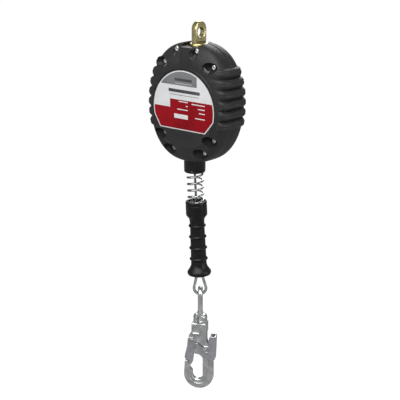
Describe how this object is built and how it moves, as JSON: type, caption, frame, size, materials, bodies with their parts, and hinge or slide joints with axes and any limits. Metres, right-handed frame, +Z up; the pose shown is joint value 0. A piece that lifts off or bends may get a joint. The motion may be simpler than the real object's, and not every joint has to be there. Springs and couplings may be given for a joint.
{
  "type": "self retracting lifeline",
  "caption": "Retracting fall-arrest block: ribbed two-part housing under a swivel eye, sprung cable outlet, grip handle and double-action swivel snap hook.",
  "frame": {"origin": "centre of the anchor eye's hole", "axes": "+Z up along the hanging object, +X along the eye's hole, -Y the label side"},
  "size_m": [0.159, 0.0643, 0.6282],
  "materials": {
    "yellow_zinc": "yellow passivated, satin",
    "charcoal_plastic": "fine grained, matt",
    "label_film": "printed film, satin",
    "zinc_screw": "bright zinc",
    "plate_steel": "zinc plated",
    "aluminium": "as cast",
    "bronze": "machined",
    "friction_lining": "pressed fibre",
    "spring_steel": "drawn, lightly oiled",
    "black_nylon": "moulded, smooth",
    "black_rubber": "moulded, matt",
    "wire_rope": "galvanised strands",
    "bright_spring": "plated wire",
    "forged_zinc": "forged, white zinc",
    "sheet_zinc": "pressed sheet, white zinc"
  },
  "bodies": {
    "anchor": {"swivel_eye": "yellow_zinc", "eye_nut": "plate_steel", "eye_nut_pin": "plate_steel", "thrust_washer": "plate_steel"},
    "housing": {"front_cover": "charcoal_plastic", "rear_cover": "charcoal_plastic", "front_label": "label_film", "cover_screws": "zinc_screw", "cover_inserts": "bronze", "frame_crosshead": "plate_steel", "eye_bush": "bronze", "frame_plate_front": "plate_steel", "frame_plate_rear": "plate_steel", "frame_spacers": "plate_steel", "frame_screws": "zinc_screw", "main_shaft": "plate_steel", "shaft_clips": "spring_steel", "spring_arbor": "plate_steel", "friction_disc_front": "friction_lining", "friction_disc_rear": "friction_lining", "pressure_ring": "plate_steel", "brake_screws": "zinc_screw", "outlet_neck": "black_nylon", "cable_guide": "black_nylon"},
    "brake_ring": {"ratchet_ring": "plate_steel"},
    "drum": {"drum_hub": "aluminium", "drum_flange_rear": "aluminium", "drum_bushes": "bronze", "cable_winding": "wire_rope", "spring_case": "plate_steel", "spring_case_cover": "plate_steel", "power_spring": "spring_steel", "drum_screws": "zinc_screw", "pawl_pins": "plate_steel"},
    "first_pawl": {"pawl_1": "plate_steel"},
    "second_pawl": {"pawl_2": "plate_steel"},
    "line": {"cable": "wire_rope", "cushion_spring": "bright_spring", "cup_sleeve": "bright_spring", "spring_seat": "plate_steel", "cable_stop": "aluminium", "handle_grip": "black_rubber", "ferrule": "aluminium", "thimble": "forged_zinc"},
    "link": {"hook_link": "forged_zinc"},
    "hook": {"hook_body": "forged_zinc", "swivel_collar": "forged_zinc", "gate_pin": "plate_steel", "gate_spring": "spring_steel", "lever_pin": "plate_steel", "lever_spring": "spring_steel"},
    "gate_channel": {"gate": "sheet_zinc"},
    "thumb_lever": {"lock_lever": "sheet_zinc"}
  },
  "joints": [
    {"name": "eye_swivel", "type": "hinge", "parent": "anchor", "child": "housing", "pos_m": [0, 0, 0], "axis": [0, 0, 1], "continuous": true},
    {"name": "brake_slip", "type": "hinge", "parent": "housing", "child": "brake_ring", "pos_m": [-0.005, 0, -0.096], "axis": [0, -1, 0], "continuous": true},
    {"name": "drum_spin", "type": "hinge", "parent": "housing", "child": "drum", "pos_m": [-0.005, 0, -0.096], "axis": [0, -1, 0], "range_deg": [0, 72], "deforming": ["power_spring"]},
    {"name": "payout", "type": "slide", "parent": "housing", "child": "line", "axis": [0.0558, 0, -0.9984], "range_m": [0, 0.0605], "stiffness_N_per_m": 20, "springref_m": -1},
    {"name": "pawl_1_swing", "type": "hinge", "parent": "drum", "child": "first_pawl", "pos_m": [-0.005, -0.02065, -0.065], "axis": [0, 1, 0], "range_deg": [0, 12], "stiffness_Nm_per_rad": 0.02, "springref_deg": -28.65},
    {"name": "pawl_2_swing", "type": "hinge", "parent": "drum", "child": "second_pawl", "pos_m": [-0.005, -0.02065, -0.127], "axis": [0, 1, 0], "range_deg": [0, 12], "stiffness_Nm_per_rad": 0.02, "springref_deg": -28.65},
    {"name": "link_swing", "type": "hinge", "parent": "line", "child": "link", "pos_m": [0.00278, 0, -0.43867], "axis": [0.766, 0.6428, 0], "range_deg": [-75, 75]},
    {"name": "hook_swivel", "type": "hinge", "parent": "link", "child": "hook", "pos_m": [0.00278, 0, -0.43867], "axis": [0, 0, 1], "continuous": true},
    {"name": "gate_swing", "type": "hinge", "parent": "hook", "child": "gate_channel", "pos_m": [-0.0087, -0.0061, -0.52267], "axis": [0.4695, -0.8829, 0], "range_deg": [0, 20], "stiffness_Nm_per_rad": 0.05, "springref_deg": -45.84},
    {"name": "lever_press", "type": "hinge", "parent": "hook", "child": "thumb_lever", "pos_m": [0.01426, 0.0061, -0.54267], "axis": [0.4695, -0.8829, 0], "range_deg": [0, 14], "stiffness_Nm_per_rad": 0.05, "springref_deg": -45.84, "deforming": ["lever_spring"]}
  ],
  "couplings": [
    {"joint": "payout", "follows": "drum_spin", "m_per_rad": 0.048},
    {"joint": "pawl_2_swing", "follows": "pawl_1_swing", "ratio": 1}
  ]
}
